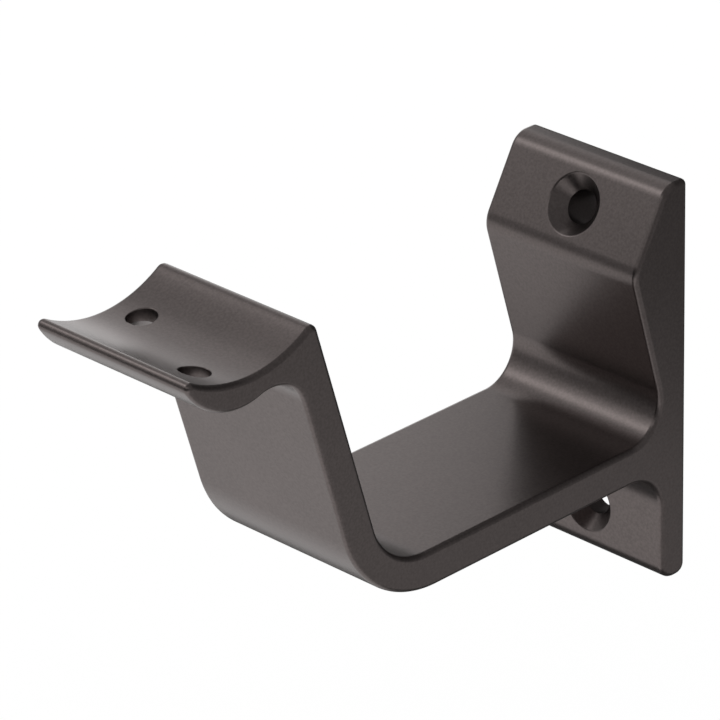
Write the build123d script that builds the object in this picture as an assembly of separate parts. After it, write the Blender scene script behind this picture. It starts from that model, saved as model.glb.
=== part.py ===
from build123d import *
from math import cos, radians, sin, sqrt, tan
import os

# Wall bracket for a round handrail: one length cut from an extruded aluminium profile,
# drilled and countersunk, with the cut ends eased.
# Millimetres. The wall face lies on Y = 0, the bracket reaches out along -Y, the profile
# runs along X, and heights count from the underside of the arm.

# Cut length and the rounding of its two ends
width = 32.0
end_ease = 0.58

# Wall plate below the arm: a flat flange with a rounded end
plate_thickness = 5.5
flange_drop = 20.0
flange_back_radius = 1.8
flange_front_radius = 3.0

# Wall plate above the arm: swells to a peak, then a sloped face leans back to the top
root_thickness = 4.0
peak_out = 12.1
peak_height = 35.3
peak_radius = 4.6
screw_face_length = 14.9
screw_face_lean = 30.0
top_front_radius = 3.7
top_back_radius = 1.0

# Level arm, and the stem that leans outward from it
arm_thickness = 6.2
arm_under_fillet = 7.4
arm_top_fillet = 6.3
bend_reach = 66.0
bend_inner_radius = 11.0
bend_outer_radius = 19.2
stem_thickness = 5.8
stem_lean = 16.0

# Saddle that the rail lies in
rail_diameter = 42.4
rail_clearance = 0.2
saddle_height = 48.05
saddle_back = 14.3
saddle_thickness = 4.4
saddle_under_radius = 11.9
saddle_under_shift = 1.6
saddle_fillet = 6.7
saddle_end_radius = 1.3
lip_radius = 0.93

# Countersunk wall screws, one square to the sloped face and one through the flange
wall_screw_radius = 2.75
wall_head_radius = 5.0
countersink_angle = 90.0
lower_screw_edge = 8.7

# Rail screws, driven up through the saddle, one near the stem and one near the lip
rail_screw_radius = 2.35
rail_screw_spacing = 19.2
rail_screw_inset = 2.7
rail_screw_outset = 4.8

# Small chamfer round the holes in the sloped face and in the saddle
rim_break = 0.2

# Worked out from the sizes above, as (distance from the wall, height)
lean = radians(stem_lean)
face_lean = radians(screw_face_lean)
saddle_radius = rail_diameter / 2 + rail_clearance
drill_length = rail_diameter


def stem_inner(height):
    """Distance from the wall to the stem's inner face at a height."""
    return bend_reach + (height - arm_thickness) * tan(lean)


def stem_outer(height):
    """Distance from the wall to the stem's outer face at a height."""
    return stem_inner(height) + stem_thickness / cos(lean)


rail_axis = Vector(stem_inner(saddle_height) + saddle_back, saddle_height + saddle_radius)
saddle_low = Vector(rail_axis.X, saddle_height)
under_low = Vector(rail_axis.X + saddle_under_shift, saddle_height - saddle_thickness)
under_axis = under_low + Vector(0, saddle_under_radius)
peak = Vector(peak_out, peak_height)
face_up = Vector(-sin(face_lean), cos(face_lean))
face_middle = peak + face_up * (screw_face_length / 2)
top_front = peak + face_up * screw_face_length


def stem_meets_circle(foot, centre, radius, side):
    """Where a stem face through foot crosses a circle: side 1 above its middle, -1 below."""
    up = Vector(sin(lean), cos(lean))
    middle = foot + up * (centre - foot).dot(up)
    return middle + up * side * sqrt(radius**2 - (centre - middle).length ** 2)


def circles_meet(centre_a, radius_a, centre_b, radius_b):
    """The crossing of two circles that lies farther from the wall."""
    apart = centre_b - centre_a
    along = (radius_a**2 - radius_b**2 + apart.length**2) / (2 * apart.length)
    across = sqrt(radius_a**2 - along**2)
    side = Vector(apart.Y, -apart.X).normalized()
    return centre_a + apart.normalized() * along + side * across


def profile():
    """The extruded section: sharp corners first, then each corner's own radius."""
    flange_back = Vector(0, -flange_drop)
    flange_front = Vector(plate_thickness, -flange_drop)
    arm_under = Vector(plate_thickness, 0)
    bend_outer = Vector(stem_outer(0), 0)
    stem_top = stem_meets_circle(bend_outer, under_axis, saddle_under_radius, -1)
    lip = circles_meet(under_axis, saddle_under_radius, rail_axis, saddle_radius)
    bend_inner = Vector(bend_reach, arm_thickness)
    saddle_end = stem_meets_circle(bend_inner, rail_axis, saddle_radius, -1)
    arm_top = Vector(root_thickness, arm_thickness)
    top_back = Vector(0, top_front.Y)

    outline = ThreePointArc(stem_top, under_low, lip)
    outline += ThreePointArc(lip, saddle_low, saddle_end)
    outline += Polyline(saddle_end, bend_inner, arm_top, peak, top_front, top_back,
                        flange_back, flange_front, arm_under, bend_outer, stem_top)
    section = make_face(outline)

    rounds = [
        (flange_back, flange_back_radius),
        (flange_front, flange_front_radius),
        (arm_under, arm_under_fillet),
        (bend_outer, bend_outer_radius),
        (stem_top, saddle_fillet),
        (lip, lip_radius),
        (saddle_end, saddle_end_radius),
        (bend_inner, bend_inner_radius),
        (arm_top, arm_top_fillet),
        (peak, peak_radius),
        (top_front, top_front_radius),
        (top_back, top_back_radius),
    ]
    for corner, radius in rounds:
        section = fillet(section.vertices().sort_by_distance(corner)[0], radius)
    return section


def cut_length():
    """The section extruded to the cut length, with both ends eased all round."""
    section_plane = Plane(origin=(0, 0, 0), x_dir=(0, -1, 0), z_dir=(-1, 0, 0))
    length = extrude(section_plane * profile(), amount=width / 2, both=True)
    ends = length.faces().sort_by(Axis.X)
    return fillet(ends[0].edges() + ends[-1].edges(), end_ease)


def wall_screw_hole(out, height, lean_back):
    """Clearance hole and countersink, square to a face that leans back from the vertical."""
    outward = Vector(0, -cos(lean_back), sin(lean_back))
    mouth = Plane(origin=(0, -out, height), x_dir=(1, 0, 0), z_dir=outward)
    hole = CounterSinkHole(wall_screw_radius, wall_head_radius, drill_length, countersink_angle)
    return mouth * hole


def rail_screw_hole(along, out):
    """Clearance hole drilled straight down through the saddle."""
    return Pos(along, -out, saddle_height) * Cylinder(rail_screw_radius, drill_length)


def rims_through(body, place):
    """The rims of the holes in the face that a place lies on."""
    face = body.faces().sort_by_distance(place)[0]
    return [edge for rim in face.inner_wires() for edge in rim.edges()]


def bracket():
    body = cut_length()
    body -= wall_screw_hole(face_middle.X, face_middle.Y, face_lean)
    body -= wall_screw_hole(plate_thickness, lower_screw_edge - flange_drop, 0)
    body -= rail_screw_hole(-rail_screw_spacing / 2, rail_axis.X - rail_screw_inset)
    body -= rail_screw_hole(rail_screw_spacing / 2, rail_axis.X + rail_screw_outset)

    beside_the_head = (width / 2 + wall_head_radius) / 2
    rims = rims_through(body, (beside_the_head, -face_middle.X, face_middle.Y))
    rims += rims_through(body, (0, -saddle_low.X, saddle_low.Y))
    return chamfer(rims, rim_break)


os.makedirs("parts", exist_ok=True)
solid = bracket()
solid.label = "bracket"
export_step(solid, "parts/bracket.step")
print("volume", round(solid.volume), "mm3, box", solid.bounding_box().size)
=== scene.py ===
from math import atan2, ceil, cos, pi, radians, sin, sqrt, tan

import bmesh
import bpy
from mathutils import Matrix, Vector


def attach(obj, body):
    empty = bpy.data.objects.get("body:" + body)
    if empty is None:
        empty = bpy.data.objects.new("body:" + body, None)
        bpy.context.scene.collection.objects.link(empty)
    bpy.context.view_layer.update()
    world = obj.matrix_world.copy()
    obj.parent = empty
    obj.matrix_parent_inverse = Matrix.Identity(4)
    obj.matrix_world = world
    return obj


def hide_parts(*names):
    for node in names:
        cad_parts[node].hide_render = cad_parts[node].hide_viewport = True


# Wall bracket for a round handrail: extruded, drilled, countersunk and anodised dark bronze.
# Metres throughout, in the part's own frame: wall face on y = 0, rail along x, z up.

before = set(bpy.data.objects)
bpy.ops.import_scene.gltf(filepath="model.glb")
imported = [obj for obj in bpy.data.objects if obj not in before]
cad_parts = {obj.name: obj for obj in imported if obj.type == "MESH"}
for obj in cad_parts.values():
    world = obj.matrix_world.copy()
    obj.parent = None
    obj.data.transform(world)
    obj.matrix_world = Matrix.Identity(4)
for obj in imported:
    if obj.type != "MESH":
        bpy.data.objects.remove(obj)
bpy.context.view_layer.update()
mm = 0.001
tiny = 1e-6       # places nearer than this are the same
facing = 0.99     # least cosine between a normal and the direction that it is said to face
print("frame loaded")


# The section, as distances out from the wall and heights above the arm's underside, in mm
section = {
    "plateThickness": 5.5, "flangeDrop": 20.0, "flangeBackRadius": 1.8, "flangeFrontRadius": 3.0,
    "rootThickness": 4.0, "peakOut": 12.1, "peakHeight": 35.3, "peakRadius": 4.6,
    "screwFaceLength": 14.9, "screwFaceLean": 30.0, "topFrontRadius": 3.7, "topBackRadius": 1.0,
    "armThickness": 6.2, "armUnderFillet": 7.4, "armTopFillet": 6.3,
    "bendReach": 66.0, "bendInnerRadius": 11.0, "bendOuterRadius": 19.2,
    "stemThickness": 5.8, "stemLean": 16.0,
    "saddleRadius": 21.4, "saddleHeight": 48.05, "saddleBack": 14.3, "saddleThickness": 4.4,
    "underRadius": 11.9, "underShift": 1.6, "saddleFillet": 6.7, "saddleEndRadius": 1.3,
    "lipRadius": 0.93,
    "chord": 0.5,       # longest straight step along a curve
    "fewestSteps": 8,   # on the tightest curves
}


def point(out, height):
    return Vector((0, -out, height)) * mm


def roundCorner(before, corner, after, radius):  # tangent point, centre, tangent point
    a, b = (before - corner).normalized(), (after - corner).normalized()
    half = a.angle(b) / 2
    centre = corner + (a + b).normalized() * radius / sin(half)
    return corner + a * radius / tan(half), centre, corner + b * radius / tan(half)


def lowerMeeting(foot, up, centre, reach):  # where a leaning line crosses a circle, the lower crossing
    middle = foot + up * (centre - foot).dot(up)
    return middle - up * sqrt(reach**2 - (centre - middle).length_squared)


def outerMeeting(centreA, reachA, centreB, reachB):  # where two circles cross, farther from the wall
    apart = centreB - centreA
    along = (reachA**2 - reachB**2 + apart.length_squared) / (2 * apart.length)
    aside = Vector((0, -apart.z, apart.y)).normalized() * sqrt(reachA**2 - along**2)
    crossings = [centreA + apart.normalized() * along + aside * way for way in (1, -1)]
    return min(crossings, key=lambda p: p.y)


def sectionTurns(s):  # every curve of the outline in order, as (start, centre, end)
    lean, faceLean = radians(s["stemLean"]), radians(s["screwFaceLean"])
    up = point(sin(lean), cos(lean)) / mm
    away = point(cos(lean), -sin(lean)) / mm

    def stemInner(height):
        return s["bendReach"] + (height - s["armThickness"]) * tan(lean)

    railOut = stemInner(s["saddleHeight"]) + s["saddleBack"]
    railAxis = point(railOut, s["saddleHeight"] + s["saddleRadius"])
    underHeight = s["saddleHeight"] - s["saddleThickness"] + s["underRadius"]
    underAxis = point(railOut + s["underShift"], underHeight)
    bendInner = point(s["bendReach"], s["armThickness"])
    bendOuter = point(stemInner(0) + s["stemThickness"] / cos(lean), 0)
    peak = point(s["peakOut"], s["peakHeight"])
    topFront = peak + point(-sin(faceLean), cos(faceLean)) * s["screwFaceLength"]

    # plain corners between straight sides
    corners = [
        (point(0, -s["flangeDrop"]), s["flangeBackRadius"]),
        (point(s["plateThickness"], -s["flangeDrop"]), s["flangeFrontRadius"]),
        (point(s["plateThickness"], 0), s["armUnderFillet"]),
        (bendOuter, s["bendOuterRadius"]),
        (bendOuter + up, None),       # the leaning stem's outer side
        (bendInner + up, None),       # and its inner side
        (bendInner, s["bendInnerRadius"]),
        (point(s["rootThickness"], s["armThickness"]), s["armTopFillet"]),
        (peak, s["peakRadius"]),
        (topFront, s["topFrontRadius"]),
        (Vector((0, 0, topFront.z)), s["topBackRadius"]),
    ]
    places = [place for place, radius in corners]
    plain = [
        roundCorner(places[i - 1], place, places[(i + 1) % len(places)], radius * mm)
        for i, (place, radius) in enumerate(corners) if radius
    ]

    # corners where the saddle's two arcs begin and end
    saddleReach, underReach = s["saddleRadius"] * mm, s["underRadius"] * mm
    fillet, endRadius = s["saddleFillet"] * mm, s["saddleEndRadius"] * mm
    lipRadius = s["lipRadius"] * mm
    filletAxis = lowerMeeting(bendOuter + away * fillet, up, underAxis, underReach + fillet)
    lipAxis = outerMeeting(underAxis, underReach - lipRadius, railAxis, saddleReach + lipRadius)
    endAxis = lowerMeeting(bendInner + away * endRadius, up, railAxis, saddleReach + endRadius)

    def onArc(axis, reach, other):
        return axis + (other - axis).normalized() * reach

    filletTop = onArc(underAxis, underReach, filletAxis)
    lipUnder = onArc(underAxis, underReach, lipAxis)
    lipTop = onArc(railAxis, saddleReach, lipAxis)
    seatEnd = onArc(railAxis, saddleReach, endAxis)
    saddle = [
        (filletAxis - away * fillet, filletAxis, filletTop),
        (filletTop, underAxis, lipUnder),
        (lipUnder, lipAxis, lipTop),
        (lipTop, railAxis, seatEnd),
        (seatEnd, endAxis, endAxis - away * endRadius),
    ]
    return plain[:4] + saddle + plain[4:]


# Tools for modelling

def clearSelection():
    if bpy.context.object and bpy.context.object.mode == "EDIT":
        bpy.ops.object.mode_set(mode="OBJECT")
    bpy.ops.object.select_all(action="DESELECT")


def pickOnly(piece):
    clearSelection()
    piece.select_set(True)
    bpy.context.view_layer.objects.active = piece


def startPiece(name, addPrimitive, **settings):  # a primitive under its own name, in edit mode
    clearSelection()
    addPrimitive(**settings)
    piece = bpy.context.object
    piece.name = piece.data.name = name
    bpy.ops.object.transform_apply(location=True, rotation=True, scale=True)
    bpy.ops.object.mode_set(mode="EDIT")
    return piece


def selectEdges(piece, wanted):
    bpy.ops.mesh.select_mode(type="EDGE")
    bpy.ops.mesh.select_all(action="DESELECT")
    mesh = bmesh.from_edit_mesh(piece.data)
    for edge in mesh.edges:
        edge.select = wanted(edge)
    mesh.select_flush_mode()
    bmesh.update_edit_mesh(piece.data)
    return sum(edge.select for edge in mesh.edges)


def selectFaces(piece, wanted):
    bpy.ops.mesh.select_mode(type="FACE")
    bpy.ops.mesh.select_all(action="DESELECT")
    mesh = bmesh.from_edit_mesh(piece.data)
    for face in mesh.faces:
        face.select = wanted(face)
    mesh.select_flush_mode()
    bmesh.update_edit_mesh(piece.data)
    return sum(face.select for face in mesh.faces)


def pull(shift):
    bpy.ops.mesh.extrude_region_move(TRANSFORM_OT_translate={"value": shift})


body = {
    "width": 32.0,
    "endEase": 0.85,     # rounding of the two cut ends
    "endSteps": 5,
    "round": 0.5,        # a bevel's profile that is an arc
    "smoothBelow": 28,   # degrees between faces that shade as one surface
}


def drawSection(s, x):  # one vertex walked round the outline: straight runs pulled, curves spun
    turns = [[Vector((x, p.y, p.z)) for p in turn] for turn in sectionTurns(s)]
    pen = turns[0][0]
    piece = startPiece("bracketBody", bpy.ops.mesh.primitive_plane_add, size=mm, location=pen)
    bpy.ops.mesh.select_mode(type="VERT")
    bpy.ops.mesh.merge(type="CENTER")
    for start, centre, end in turns:
        if (start - pen).length > tiny:
            pull(start - pen)
        a, b = start - centre, end - centre
        angle = atan2(a.y * b.z - a.z * b.y, a.y * b.y + a.z * b.z)
        steps = max(s["fewestSteps"], ceil(abs(angle) * a.length / (s["chord"] * mm)))
        bpy.ops.mesh.spin(steps=steps, angle=-angle, center=centre, axis=(1, 0, 0))
        pen = end
    pull(turns[0][0] - pen)
    bpy.ops.mesh.select_all(action="SELECT")
    bpy.ops.mesh.remove_doubles(threshold=tiny)
    bpy.ops.mesh.edge_face_add()
    return piece


halfWidth = body["width"] / 2 * mm
bracket = drawSection(section, -halfWidth)
pull(Vector((2 * halfWidth, 0, 0)))
bpy.ops.mesh.select_all(action="SELECT")
bpy.ops.mesh.normals_make_consistent(inside=False)


def alongEnd(edge):
    a, b = (vertex.co.x for vertex in edge.verts)
    return abs(abs(a) - halfWidth) < tiny and abs(a - b) < tiny


selectEdges(bracket, alongEnd)
bpy.ops.mesh.bevel(
    offset=body["endEase"] * mm, segments=body["endSteps"], profile=body["round"], affect="EDGES")
bpy.ops.object.mode_set(mode="OBJECT")
print("section drawn, pulled to length and its ends eased")


# Screw holes, in mm
holes = {
    "wallScrewRadius": 2.75, "wallHeadRadius": 5.0, "lowerScrewEdge": 8.7,
    "railScrewRadius": 2.35, "railScrewSpacing": 19.2, "railScrewInset": 2.7, "railScrewOutset": 4.8,
    "railHeadRadius": 4.4,   # countersinks from below
    "railSinkTop": 46.45,    # and the height that they reach
    "rimBreak": 0.2, "rimSteps": 3,
    "rimSlack": 0.02,        # how far a rim's corners may lie off its circle
    "drillLength": 14.0, "facets": 96,
    "proud": 0.01,           # how far a wall countersink's cone runs past the face, so that it cuts clean
}


def cutWith(piece, cutter):
    bpy.ops.object.mode_set(mode="OBJECT")
    pickOnly(piece)
    cut = piece.modifiers.new("cut", "BOOLEAN")
    cut.operation, cut.solver, cut.object = "DIFFERENCE", "EXACT", cutter
    bpy.ops.object.modifier_apply(modifier=cut.name)
    pickOnly(cutter)
    bpy.ops.object.delete()


def offAxis(place, mouth, axis):  # distance of a place from a hole's axis
    return (place - mouth).cross(axis).length


def breakRim(piece, mouth, axis, radius, inFace):  # a small rounded break round one rim
    h = holes
    pickOnly(piece)
    bpy.ops.object.mode_set(mode="EDIT")

    def onRim(place):
        return abs(offAxis(place, mouth, axis) - radius) < h["rimSlack"] * mm and inFace(place)

    found = selectEdges(piece, lambda edge: all(onRim(vertex.co) for vertex in edge.verts))
    bpy.ops.mesh.bevel(
        offset=h["rimBreak"] * mm, segments=h["rimSteps"], profile=body["round"], affect="EDGES")
    bpy.ops.object.mode_set(mode="OBJECT")
    print("rim of", found, "edges broken")


def drillWallScrew(piece, out, height, leanBack):
    h = holes
    lean = radians(leanBack)
    mouth, axis = point(out, height), Vector((0, -cos(lean), sin(lean)))
    headRadius, proud = h["wallHeadRadius"] * mm, h["proud"] * mm
    sink = headRadius - h["wallScrewRadius"] * mm
    middle = mouth - axis * (sink + h["drillLength"] / 2 * mm)
    cutter = startPiece(
        "wallScrewCutter", bpy.ops.mesh.primitive_cylinder_add, vertices=h["facets"],
        radius=h["wallScrewRadius"] * mm, depth=h["drillLength"] * mm,
        location=middle, rotation=(pi / 2 - lean, 0, 0))
    selectFaces(cutter, lambda face: face.normal.dot(axis) > facing)
    pull(axis * (sink + proud))
    widen = (headRadius + proud) / (h["wallScrewRadius"] * mm)
    bpy.ops.transform.resize(value=(widen,) * 3, center_override=mouth + axis * proud)
    pull(axis * sink)
    cutWith(piece, cutter)
    breakRim(piece, mouth, axis, headRadius, lambda co: abs((co - mouth).dot(axis)) < proud / 2)


def drillRailScrew(piece, along, out):
    h, s = holes, section
    mouth, axis = point(out, s["saddleHeight"]), Vector((0, 0, 1))
    mouth.x = along * mm
    sinkTop = mouth + axis * (h["railSinkTop"] - s["saddleHeight"]) * mm
    widen = h["railHeadRadius"] / h["railScrewRadius"]
    sink = (h["railHeadRadius"] - h["railScrewRadius"]) * mm
    cutter = startPiece(
        "railScrewCutter", bpy.ops.mesh.primitive_cylinder_add, vertices=h["facets"],
        radius=h["railScrewRadius"] * mm, depth=h["drillLength"] * mm,
        location=sinkTop + axis * h["drillLength"] / 2 * mm)
    selectFaces(cutter, lambda face: face.normal.dot(axis) < -facing)
    pull(-axis * sink)
    bpy.ops.transform.resize(value=(widen,) * 3, center_override=sinkTop - axis * sink)
    pull(-axis * sink)
    cutWith(piece, cutter)
    breakRim(piece, mouth, axis, h["railScrewRadius"] * mm, lambda co: co.z > mouth.z - tiny)


faceLean = radians(section["screwFaceLean"])
halfFace = section["screwFaceLength"] / 2
drillWallScrew(bracket, section["peakOut"] - halfFace * sin(faceLean),
               section["peakHeight"] + halfFace * cos(faceLean), section["screwFaceLean"])
drillWallScrew(bracket, section["plateThickness"], holes["lowerScrewEdge"] - section["flangeDrop"], 0)
railOut = section["bendReach"] + section["saddleBack"] + tan(radians(section["stemLean"])) * (
    section["saddleHeight"] - section["armThickness"])
drillRailScrew(bracket, -holes["railScrewSpacing"] / 2, railOut - holes["railScrewInset"])
drillRailScrew(bracket, holes["railScrewSpacing"] / 2, railOut + holes["railScrewOutset"])

pickOnly(bracket)
bpy.ops.object.shade_smooth_by_angle(angle=radians(body["smoothBelow"]), keep_sharp_edges=True)
flat = bracket.modifiers.new("flat faces stay flat", "WEIGHTED_NORMAL")
flat.keep_sharp = True
bpy.ops.object.modifier_apply(modifier=flat.name)
print("holes drilled:", len(bracket.data.polygons), "faces")


# The anodised finish

class Wire:  # a socket that can stand in a sum
    def __init__(self, shader, socket):
        self.shader, self.socket = shader, socket

    def calc(self, operation, *values):
        settings = {"operation": operation}
        return self.shader.add("ShaderNodeMath", settings, dict(enumerate(values)))["Value"]

    def __add__(self, other):
        return self.calc("ADD", self, other)

    def __sub__(self, other):
        return self.calc("SUBTRACT", self, other)

    def __mul__(self, other):
        return self.calc("MULTIPLY", self, other)

    def __rsub__(self, other):
        return self.calc("SUBTRACT", other, self)

    __radd__, __rmul__ = __add__, __mul__

    def ramp(self, low, high):  # 0 at low, 1 at high, soft at both ends
        settings = {"interpolation_type": "SMOOTHSTEP"}
        return self.shader.add("ShaderNodeMapRange", settings, {0: self, 1: low, 2: high})["Result"]


class Shader:  # the nodes of a material or a world
    def __init__(self, owner):
        self.owner = owner
        owner.use_nodes = True
        self.tree = owner.node_tree

    def own(self, kind):  # a node that the tree started with
        return next(node for node in self.tree.nodes if node.bl_idname == kind)

    def add(self, kind, settings=None, inputs=None):
        node = self.tree.nodes.new(kind)
        for name, value in (settings or {}).items():
            setattr(node, name, value)
        self.feed(node, inputs or {})
        return {socket.name: Wire(self, socket) for socket in node.outputs if socket.enabled}

    def feed(self, node, inputs):
        for name, value in inputs.items():
            if isinstance(value, Wire):
                self.tree.links.new(value.socket, node.inputs[name])
            else:
                node.inputs[name].default_value = value

    def places(self, scale=(1, 1, 1)):  # object coordinates, scaled along x, y and z
        spot = self.add("ShaderNodeTexCoord")["Object"]
        return self.add("ShaderNodeMapping", None, {"Vector": spot, "Scale": scale})["Vector"]

    def noise(self, places, scale, detail=2.0, roughness=0.5):
        inputs = {"Vector": places, "Scale": scale, "Detail": detail, "Roughness": roughness}
        return self.add("ShaderNodeTexNoise", None, inputs)["Fac"]

    def mixColours(self, factor, first, second):
        inputs = {0: factor, 6: first, 7: second}
        return self.add("ShaderNodeMix", {"data_type": "RGBA"}, inputs)["Result"]


anodised = {
    "deep": (0.113, 0.0965, 0.0935, 1),    # dark bronze dye
    "pale": (0.147, 0.1255, 0.1215, 1),    # where the dye took a little less
    "metallic": 1.0,
    "roughness": 0.32,
    "grain": 2300,                         # fine etched grain, per metre
    "cloud": 90,                           # slow unevenness, per metre
    "cloudDetail": 3.0, "cloudRoughness": 0.55,
    "lines": 2600, "lineStretch": 0.02,    # faint lines along the extrusion
    "toneFrom": {"cloud": 0.2, "grain": 0.8},
    "toneLow": 0.25, "toneHigh": 0.75,
    "roughFrom": {"cloud": 0.05, "grain": 0.06},
    "middle": 0.5,                         # a noise's own middle
    "bumpFromLines": 0.35, "bumpStrength": 0.2, "bumpDepth": 0.0000034,
}


def makeAnodised(a):
    shader = Shader(bpy.data.materials.new("bronze anodised aluminium"))
    plain = shader.places()
    grain = shader.noise(plain, a["grain"])
    cloud = shader.noise(plain, a["cloud"], a["cloudDetail"], a["cloudRoughness"])
    lines = shader.noise(shader.places((a["lineStretch"], 1, 1)), a["lines"])

    toneFrom, roughFrom = a["toneFrom"], a["roughFrom"]
    mixed = cloud * toneFrom["cloud"] + grain * toneFrom["grain"]
    tone = shader.mixColours(mixed.ramp(a["toneLow"], a["toneHigh"]), a["deep"], a["pale"])
    sway = (cloud - a["middle"]) * roughFrom["cloud"] + (grain - a["middle"]) * roughFrom["grain"]
    rough = a["roughness"] + sway
    bump = shader.add("ShaderNodeBump", None, {
        "Height": grain + lines * a["bumpFromLines"],
        "Strength": a["bumpStrength"],
        "Distance": a["bumpDepth"]})["Normal"]
    shader.feed(shader.own("ShaderNodeBsdfPrincipled"), {
        "Base Color": tone, "Metallic": a["metallic"], "Roughness": rough, "Normal": bump})
    return shader.owner


bracket.data.materials.clear()
bracket.data.materials.append(makeAnodised(anodised))
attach(bracket, "root")
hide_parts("bracket")
print("bracket finished")


# The studio, in metres
white = (1, 1, 1, 1)
studio = {
    "floorHeight": -0.075, "floorSize": 6.0,
    "floorColour": (0.96, 0.96, 0.96, 1),
    "shownWhite": 0.90,                # share of plain white in it, as the camera and reflections see it
    "cardThickness": 0.001,
    "lampAim": (0, -0.045, 0.02),      # the middle of the bracket
    "lampDistance": 0.9,
}

lamps = {  # degrees round from the front, degrees up, width and height, watts
    "key soft box": (-62, 43, (0.25, 0.25), 0.54),
    "rim soft box": (-140, 9, (0.5, 0.3), 0.4),
}

# Grey screens that the metal alone mirrors: large ones round the table, and a dark card close
# behind the wall plate, which puts painted shade into the screw holes. Grey level, lowest and
# highest corner.
cards = {
    "ceiling card": (0.3, (-0.3, -0.5, 0.55), (0.45, 0.4, 0.55)),
    "camera side card": (0.1, (-0.45, -0.5, -0.07), (0.45, -0.5, 0.3)),
    "right card": (0.3, (0.45, -0.5, -0.07), (0.45, 0.4, 0.55)),
    "left card": (0.5, (-0.45, -0.35, -0.07), (-0.45, 0.15, 0.55)),
    "back card": (0.1, (-0.4, 0.4, -0.07), (0.45, 0.4, 0.55)),
    # painted shade: a dark sheet that only the metal mirrors, so that the screw holes look shaded
    "wall shade card": (0.1, (-0.016, 0.006, -0.02), (0.016, 0.006, 0.048)),
    "table card below": (0.1, (-0.15, -0.04, -0.074), (0.06, 0.4, -0.074)),
    "table card right": (0.5, (0.06, -0.15, -0.074), (0.45, 0.12, -0.074)),
    "table card back": (0.2, (0.06, 0.12, -0.074), (0.45, 0.4, -0.074)),
}


def seenOrMirrored(shader):  # 1 for rays from the camera, and for those that metal or glass sends on
    path = shader.add("ShaderNodeLightPath")
    return path["Is Camera Ray"] + path["Is Glossy Ray"] + path["Is Transmission Ray"]


def makeFloor(s):
    floor = startPiece(
        "studio floor", bpy.ops.mesh.primitive_plane_add,
        size=s["floorSize"], location=(0, 0, s["floorHeight"]))
    bpy.ops.object.mode_set(mode="OBJECT")
    shader = Shader(bpy.data.materials.new("pale studio floor"))
    matt = shader.add("ShaderNodeBsdfDiffuse", None, {"Color": s["floorColour"]})["BSDF"]
    glow = shader.add("ShaderNodeEmission", None, {"Color": white, "Strength": 1.0})["Emission"]
    share = seenOrMirrored(shader) * s["shownWhite"]
    mixed = shader.add("ShaderNodeMixShader", None, {0: share, 1: matt, 2: glow})["Shader"]
    shader.feed(shader.own("ShaderNodeOutputMaterial"), {"Surface": mixed})
    shader.owner.cycles.emission_sampling = "NONE"
    floor.data.materials.append(shader.owner)


def makeWorld():  # plain white at strength 1, for every kind of ray
    shader = Shader(bpy.data.worlds.new("studio"))
    shader.feed(shader.own("ShaderNodeBackground"), {"Color": white, "Strength": 1.0})
    bpy.context.scene.world = shader.owner


def makeCard(s, name, level, low, high):  # seen by the metal alone, and it casts no shadow
    low, high = Vector(low), Vector(high)
    sides = [max(side, s["cardThickness"]) for side in high - low]
    card = startPiece(
        name, bpy.ops.mesh.primitive_cube_add, size=1, location=(low + high) / 2, scale=sides)
    bpy.ops.object.mode_set(mode="OBJECT")
    shader = Shader(bpy.data.materials.new(name))
    glow = shader.add("ShaderNodeEmission", None, {"Color": white, "Strength": level})["Emission"]
    shader.feed(shader.own("ShaderNodeOutputMaterial"), {"Surface": glow})
    shader.owner.cycles.emission_sampling = "NONE"
    card.data.materials.append(shader.owner)
    card.visible_camera = card.visible_diffuse = False
    card.visible_transmission = card.visible_shadow = False


def outwardFrom(azimuth, elevation):  # from the bracket, round from the front and then up
    a, e = radians(azimuth), radians(elevation)
    return Vector((sin(a) * cos(e), -cos(a) * cos(e), sin(e)))


def makeLamp(s, name, azimuth, elevation, size, power):  # a soft box aimed at the bracket
    away = outwardFrom(azimuth, elevation)
    lamp = bpy.data.lights.new(name, "AREA")
    lamp.shape, lamp.energy = "RECTANGLE", power
    lamp.size, lamp.size_y = size
    holder = bpy.data.objects.new(name, lamp)
    bpy.context.scene.collection.objects.link(holder)
    holder.location = Vector(s["lampAim"]) + away * s["lampDistance"]
    holder.rotation_mode = "QUATERNION"
    holder.rotation_quaternion = away.to_track_quat("Z", "Y")


makeFloor(studio)
makeWorld()
for name, card in cards.items():
    makeCard(studio, name, *card)
for name, lamp in lamps.items():
    makeLamp(studio, name, *lamp)
print("studio lit")


# The camera, in degrees, metres and mm of lens
view = {
    "azimuth": 45.747, "elevation": 26.2394, "roll": -1.4155, "distance": 0.76888,
    "aim": (-0.01538, -0.04015, 0.02139), "lens": 249.893, "sensor": 36.0,
    "nearest": 0.01, "farthest": 20,
}


def makeCamera(v):
    a, roll = radians(v["azimuth"]), radians(v["roll"])
    back = outwardFrom(v["azimuth"], v["elevation"])
    right = Vector((cos(a), sin(a), 0))
    up = back.cross(right)
    across, upward = right * cos(roll) + up * sin(roll), up * cos(roll) - right * sin(roll)
    lens = bpy.data.cameras.new("photo view")
    lens.lens, lens.sensor_width = v["lens"], v["sensor"]
    lens.clip_start, lens.clip_end = v["nearest"], v["farthest"]
    camera = bpy.data.objects.new("photo view", lens)
    bpy.context.scene.collection.objects.link(camera)
    turn = Matrix((across, upward, back)).transposed().to_4x4()
    camera.matrix_world = Matrix.Translation(Vector(v["aim"]) + back * v["distance"]) @ turn
    bpy.context.scene.camera = camera


makeCamera(view)
bpy.context.scene.view_settings.view_transform = "Standard"
print("camera placed")
